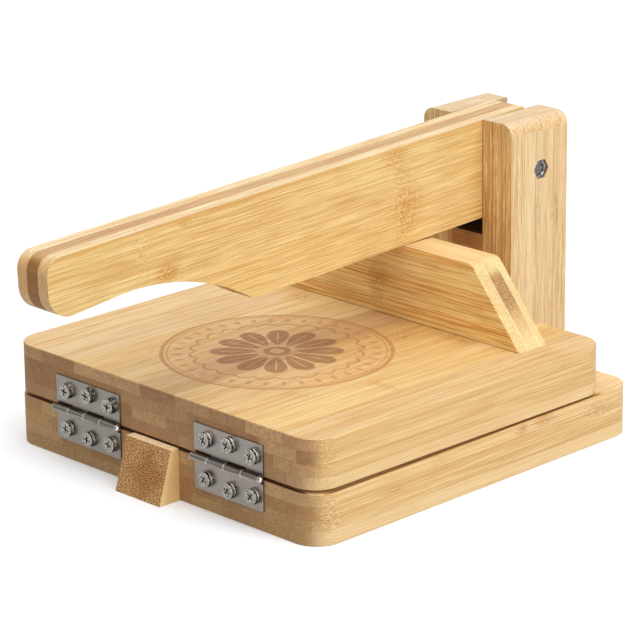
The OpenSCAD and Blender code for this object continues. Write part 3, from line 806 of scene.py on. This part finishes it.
EASED = {"spacer_block": 0.4, "stop_wedge": 0.5, "left_post": 0.9, "right_post": 0.9,
         "pivot_nut": 0.25, "pivot_bolt": 0.3, "post_screws": 0.25}
for side in ("left_", "right_"):
    EASED.update({side + "hinge_base_leaf": 0.22, side + "hinge_plate_leaf": 0.22, side + "hinge_pin": 0.2,
                  side + "base_screws": 0.28, side + "plate_screws": 0.28})
for node, width in EASED.items():
    ease(node, width)
for node in ("base_board", "press_plate"):
    ease(node, 0.15, angle=25.0)
for node in ("rib_core_ply", "lever_core_ply"):
    ease(node, 0.05, segments=1)
# outer plies are eased on their outer faces only, so that the glued joints stay flush
for node, width, face, axis in (("rib_front_ply", 0.6, low("rib_front_ply", Y), Y),
                                ("rib_back_ply", 0.6, high("rib_back_ply", Y), Y),
                                ("lever_left_ply", 0.9, low("lever_left_ply", X), X),
                                ("lever_right_ply", 0.9, high("lever_right_ply", X), X)):
    ease(node, width, group=near_face(face, axis))


# ---------------------------------------------------------------- stage, light, camera

FLOOR_SIZE = 60.0
WHITE = linear(1.0, 1.0, 1.0)
# grey of the floor as it lights the press, and near white as the camera sees it
FLOOR_GREY, FLOOR_WHITE = linear(0.50, 0.515, 0.54), linear(0.925, 0.945, 0.972)
# the floor's own glow near the press, and far away, where no light reaches it; mm from the centre
GLOW_NEAR, GLOW_FAR = 0.13, 1.0
NEAR_REACH, FAR_REACH = 600.0, 2400.0
# strength of the white surroundings as a light
SKY_LIGHT = 0.34
# where the lamps point, metres
PRESS_MIDDLE = (0.0, 0.0, 0.06)


def floor_material():
    """White floor that keeps the shadow: lit diffuse, lifted to white for the camera and for mirrors."""
    g = Graph("floor_white")
    seen = g.seen_directly()
    x, y, _ = g.split(g.coords()[0])
    far = g.math("SQRT", x * x + y * y)
    glow = seen * g.ramp(far, NEAR_REACH, FAR_REACH, GLOW_NEAR, GLOW_FAR)
    diffuse = g.fill(g.node("ShaderNodeBsdfDiffuse"), g.mix(seen, FLOOR_GREY, FLOOR_WHITE))
    emission = g.fill(g.node("ShaderNodeEmission"), WHITE, glow)
    both = g.fill(g.node("ShaderNodeAddShader"), diffuse.outputs[0], emission.outputs[0])
    g.fill(g.node("ShaderNodeOutputMaterial"), both.outputs[0])
    return g.owner


def studio_world():
    """White surroundings that light the press more softly than they look."""
    g = Graph("studio", bpy.data.worlds.new("studio"))
    strength = g.ramp(g.seen_directly(), 0.0, 1.0, SKY_LIGHT, 1.0)
    background = g.fill(g.node("ShaderNodeBackground"), None, strength)
    g.fill(g.node("ShaderNodeOutputWorld"), background.outputs[0])
    return g.owner


def softbox(name, at, size, power):
    """A rectangular lamp of size metres that points at the middle of the press."""
    light = bpy.data.lights.new(name, "AREA")
    light.shape = "RECTANGLE"
    light.size, light.size_y = size
    light.energy = power
    o = bpy.data.objects.new(name, light)
    scene.collection.objects.link(o)
    o.location = at
    o.rotation_euler = (Vector(PRESS_MIDDLE) - Vector(at)).to_track_quat("-Z", "Y").to_euler()


bpy.ops.mesh.primitive_plane_add(size=FLOOR_SIZE, location=(0, 0, 0))
floor = bpy.context.object
floor.name = "floor"
floor.data.materials.append(floor_material())
scene.world = studio_world()
softbox("overhead", (0.3, -0.1, 2.4), (3.2, 3.2), 68.0)
softbox("side", (2.6, 0.02, 1.3), (2.6, 2.2), 42.0)

# the camera looks at AIM from DISTANCE, in metres, at angles in degrees that follow from the photo's edges
AIM = (-0.0111456, 0.0084355, 0.0598674)
DISTANCE = 1.7
AZIMUTH, ELEVATION, ROLL = 45.64801, 18.14619, -0.69664
FOCAL_MM, SENSOR_MM = 178.68, 36.0

cam = bpy.data.cameras.new("camera")
cam.sensor_width = SENSOR_MM
cam.lens = FOCAL_MM
cam.clip_start, cam.clip_end = 0.05, 100.0
camera = bpy.data.objects.new("camera", cam)
scene.collection.objects.link(camera)
camera.matrix_world = (Matrix.Translation(AIM)
                       @ Matrix.Rotation(math.radians(AZIMUTH), 4, "Z")
                       @ Matrix.Rotation(math.radians(90.0 - ELEVATION), 4, "X")
                       @ Matrix.Rotation(math.radians(ROLL), 4, "Z")
                       @ Matrix.Translation((0.0, 0.0, DISTANCE)))
scene.camera = camera
scene.view_settings.view_transform = "Standard"
